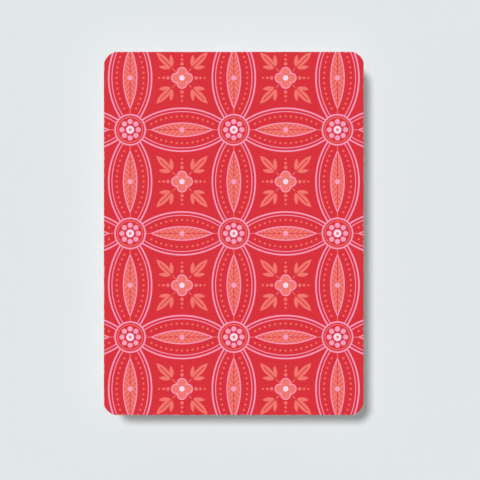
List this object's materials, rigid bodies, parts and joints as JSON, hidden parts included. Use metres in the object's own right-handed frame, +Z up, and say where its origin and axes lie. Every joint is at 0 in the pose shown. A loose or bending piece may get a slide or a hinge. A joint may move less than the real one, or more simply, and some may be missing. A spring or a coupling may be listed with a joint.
{
  "type": "question card deck",
  "caption": "Squared deck of round-cornered, poker-size question cards lying face down, with each card free to be drawn off the side of the pile.",
  "frame": {"origin": "centre of the deck on the surface that it lies on, in the face of the lowest card", "axes": "+Z up through the deck, out of the printed backs; +Y along the long edges; +X across the deck, to the right as the picture shows it"},
  "size_m": [0.0638, 0.0892, 0.0161],
  "materials": {
    "printed_card": "satin"
  },
  "bodies": {
    "card_01": {"question_card_01": "printed_card"},
    "card_02": {"question_card_02": "printed_card"},
    "card_03": {"question_card_03": "printed_card"},
    "card_04": {"question_card_04": "printed_card"},
    "card_05": {"question_card_05": "printed_card"},
    "card_06": {"question_card_06": "printed_card"},
    "card_07": {"question_card_07": "printed_card"},
    "card_08": {"question_card_08": "printed_card"},
    "card_09": {"question_card_09": "printed_card"},
    "card_10": {"question_card_10": "printed_card"},
    "card_11": {"question_card_11": "printed_card"},
    "card_12": {"question_card_12": "printed_card"},
    "card_13": {"question_card_13": "printed_card"},
    "card_14": {"question_card_14": "printed_card"},
    "card_15": {"question_card_15": "printed_card"},
    "card_16": {"question_card_16": "printed_card"},
    "card_17": {"question_card_17": "printed_card"},
    "card_18": {"question_card_18": "printed_card"},
    "card_19": {"question_card_19": "printed_card"},
    "card_20": {"question_card_20": "printed_card"},
    "card_21": {"question_card_21": "printed_card"},
    "card_22": {"question_card_22": "printed_card"},
    "card_23": {"question_card_23": "printed_card"},
    "card_24": {"question_card_24": "printed_card"},
    "card_25": {"question_card_25": "printed_card"},
    "card_26": {"question_card_26": "printed_card"},
    "card_27": {"question_card_27": "printed_card"},
    "card_28": {"question_card_28": "printed_card"},
    "card_29": {"question_card_29": "printed_card"},
    "card_30": {"question_card_30": "printed_card"},
    "card_31": {"question_card_31": "printed_card"},
    "card_32": {"question_card_32": "printed_card"},
    "card_33": {"question_card_33": "printed_card"},
    "card_34": {"question_card_34": "printed_card"},
    "card_35": {"question_card_35": "printed_card"},
    "card_36": {"question_card_36": "printed_card"},
    "card_37": {"question_card_37": "printed_card"},
    "card_38": {"question_card_38": "printed_card"},
    "card_39": {"question_card_39": "printed_card"},
    "card_40": {"question_card_40": "printed_card"},
    "card_41": {"question_card_41": "printed_card"},
    "card_42": {"question_card_42": "printed_card"},
    "card_43": {"question_card_43": "printed_card"},
    "card_44": {"question_card_44": "printed_card"},
    "card_45": {"question_card_45": "printed_card"},
    "card_46": {"question_card_46": "printed_card"},
    "card_47": {"question_card_47": "printed_card"},
    "card_48": {"question_card_48": "printed_card"},
    "card_49": {"question_card_49": "printed_card"},
    "card_50": {"question_card_50": "printed_card"},
    "card_51": {"question_card_51": "printed_card"},
    "card_52": {"question_card_52": "printed_card"}
  },
  "joints": [
    {"name": "draw_card_01", "type": "slide", "parent": "card_52", "child": "card_01", "axis": [1, 0, 0], "range_m": [-0.065, 0.065]},
    {"name": "draw_card_02", "type": "slide", "parent": "card_52", "child": "card_02", "axis": [1, 0, 0], "range_m": [-0.065, 0.065]},
    {"name": "draw_card_03", "type": "slide", "parent": "card_52", "child": "card_03", "axis": [1, 0, 0], "range_m": [-0.065, 0.065]},
    {"name": "draw_card_04", "type": "slide", "parent": "card_52", "child": "card_04", "axis": [1, 0, 0], "range_m": [-0.065, 0.065]},
    {"name": "draw_card_05", "type": "slide", "parent": "card_52", "child": "card_05", "axis": [1, 0, 0], "range_m": [-0.065, 0.065]},
    {"name": "draw_card_06", "type": "slide", "parent": "card_52", "child": "card_06", "axis": [1, 0, 0], "range_m": [-0.065, 0.065]},
    {"name": "draw_card_07", "type": "slide", "parent": "card_52", "child": "card_07", "axis": [1, 0, 0], "range_m": [-0.065, 0.065]},
    {"name": "draw_card_08", "type": "slide", "parent": "card_52", "child": "card_08", "axis": [1, 0, 0], "range_m": [-0.065, 0.065]},
    {"name": "draw_card_09", "type": "slide", "parent": "card_52", "child": "card_09", "axis": [1, 0, 0], "range_m": [-0.065, 0.065]},
    {"name": "draw_card_10", "type": "slide", "parent": "card_52", "child": "card_10", "axis": [1, 0, 0], "range_m": [-0.065, 0.065]},
    {"name": "draw_card_11", "type": "slide", "parent": "card_52", "child": "card_11", "axis": [1, 0, 0], "range_m": [-0.065, 0.065]},
    {"name": "draw_card_12", "type": "slide", "parent": "card_52", "child": "card_12", "axis": [1, 0, 0], "range_m": [-0.065, 0.065]},
    {"name": "draw_card_13", "type": "slide", "parent": "card_52", "child": "card_13", "axis": [1, 0, 0], "range_m": [-0.065, 0.065]},
    {"name": "draw_card_14", "type": "slide", "parent": "card_52", "child": "card_14", "axis": [1, 0, 0], "range_m": [-0.065, 0.065]},
    {"name": "draw_card_15", "type": "slide", "parent": "card_52", "child": "card_15", "axis": [1, 0, 0], "range_m": [-0.065, 0.065]},
    {"name": "draw_card_16", "type": "slide", "parent": "card_52", "child": "card_16", "axis": [1, 0, 0], "range_m": [-0.065, 0.065]},
    {"name": "draw_card_17", "type": "slide", "parent": "card_52", "child": "card_17", "axis": [1, 0, 0], "range_m": [-0.065, 0.065]},
    {"name": "draw_card_18", "type": "slide", "parent": "card_52", "child": "card_18", "axis": [1, 0, 0], "range_m": [-0.065, 0.065]},
    {"name": "draw_card_19", "type": "slide", "parent": "card_52", "child": "card_19", "axis": [1, 0, 0], "range_m": [-0.065, 0.065]},
    {"name": "draw_card_20", "type": "slide", "parent": "card_52", "child": "card_20", "axis": [1, 0, 0], "range_m": [-0.065, 0.065]},
    {"name": "draw_card_21", "type": "slide", "parent": "card_52", "child": "card_21", "axis": [1, 0, 0], "range_m": [-0.065, 0.065]},
    {"name": "draw_card_22", "type": "slide", "parent": "card_52", "child": "card_22", "axis": [1, 0, 0], "range_m": [-0.065, 0.065]},
    {"name": "draw_card_23", "type": "slide", "parent": "card_52", "child": "card_23", "axis": [1, 0, 0], "range_m": [-0.065, 0.065]},
    {"name": "draw_card_24", "type": "slide", "parent": "card_52", "child": "card_24", "axis": [1, 0, 0], "range_m": [-0.065, 0.065]},
    {"name": "draw_card_25", "type": "slide", "parent": "card_52", "child": "card_25", "axis": [1, 0, 0], "range_m": [-0.065, 0.065]},
    {"name": "draw_card_26", "type": "slide", "parent": "card_52", "child": "card_26", "axis": [1, 0, 0], "range_m": [-0.065, 0.065]},
    {"name": "draw_card_27", "type": "slide", "parent": "card_52", "child": "card_27", "axis": [1, 0, 0], "range_m": [-0.065, 0.065]},
    {"name": "draw_card_28", "type": "slide", "parent": "card_52", "child": "card_28", "axis": [1, 0, 0], "range_m": [-0.065, 0.065]},
    {"name": "draw_card_29", "type": "slide", "parent": "card_52", "child": "card_29", "axis": [1, 0, 0], "range_m": [-0.065, 0.065]},
    {"name": "draw_card_30", "type": "slide", "parent": "card_52", "child": "card_30", "axis": [1, 0, 0], "range_m": [-0.065, 0.065]},
    {"name": "draw_card_31", "type": "slide", "parent": "card_52", "child": "card_31", "axis": [1, 0, 0], "range_m": [-0.065, 0.065]},
    {"name": "draw_card_32", "type": "slide", "parent": "card_52", "child": "card_32", "axis": [1, 0, 0], "range_m": [-0.065, 0.065]},
    {"name": "draw_card_33", "type": "slide", "parent": "card_52", "child": "card_33", "axis": [1, 0, 0], "range_m": [-0.065, 0.065]},
    {"name": "draw_card_34", "type": "slide", "parent": "card_52", "child": "card_34", "axis": [1, 0, 0], "range_m": [-0.065, 0.065]},
    {"name": "draw_card_35", "type": "slide", "parent": "card_52", "child": "card_35", "axis": [1, 0, 0], "range_m": [-0.065, 0.065]},
    {"name": "draw_card_36", "type": "slide", "parent": "card_52", "child": "card_36", "axis": [1, 0, 0], "range_m": [-0.065, 0.065]},
    {"name": "draw_card_37", "type": "slide", "parent": "card_52", "child": "card_37", "axis": [1, 0, 0], "range_m": [-0.065, 0.065]},
    {"name": "draw_card_38", "type": "slide", "parent": "card_52", "child": "card_38", "axis": [1, 0, 0], "range_m": [-0.065, 0.065]},
    {"name": "draw_card_39", "type": "slide", "parent": "card_52", "child": "card_39", "axis": [1, 0, 0], "range_m": [-0.065, 0.065]},
    {"name": "draw_card_40", "type": "slide", "parent": "card_52", "child": "card_40", "axis": [1, 0, 0], "range_m": [-0.065, 0.065]},
    {"name": "draw_card_41", "type": "slide", "parent": "card_52", "child": "card_41", "axis": [1, 0, 0], "range_m": [-0.065, 0.065]},
    {"name": "draw_card_42", "type": "slide", "parent": "card_52", "child": "card_42", "axis": [1, 0, 0], "range_m": [-0.065, 0.065]},
    {"name": "draw_card_43", "type": "slide", "parent": "card_52", "child": "card_43", "axis": [1, 0, 0], "range_m": [-0.065, 0.065]},
    {"name": "draw_card_44", "type": "slide", "parent": "card_52", "child": "card_44", "axis": [1, 0, 0], "range_m": [-0.065, 0.065]},
    {"name": "draw_card_45", "type": "slide", "parent": "card_52", "child": "card_45", "axis": [1, 0, 0], "range_m": [-0.065, 0.065]},
    {"name": "draw_card_46", "type": "slide", "parent": "card_52", "child": "card_46", "axis": [1, 0, 0], "range_m": [-0.065, 0.065]},
    {"name": "draw_card_47", "type": "slide", "parent": "card_52", "child": "card_47", "axis": [1, 0, 0], "range_m": [-0.065, 0.065]},
    {"name": "draw_card_48", "type": "slide", "parent": "card_52", "child": "card_48", "axis": [1, 0, 0], "range_m": [-0.065, 0.065]},
    {"name": "draw_card_49", "type": "slide", "parent": "card_52", "child": "card_49", "axis": [1, 0, 0], "range_m": [-0.065, 0.065]},
    {"name": "draw_card_50", "type": "slide", "parent": "card_52", "child": "card_50", "axis": [1, 0, 0], "range_m": [-0.065, 0.065]},
    {"name": "draw_card_51", "type": "slide", "parent": "card_52", "child": "card_51", "axis": [1, 0, 0], "range_m": [-0.065, 0.065]}
  ]
}
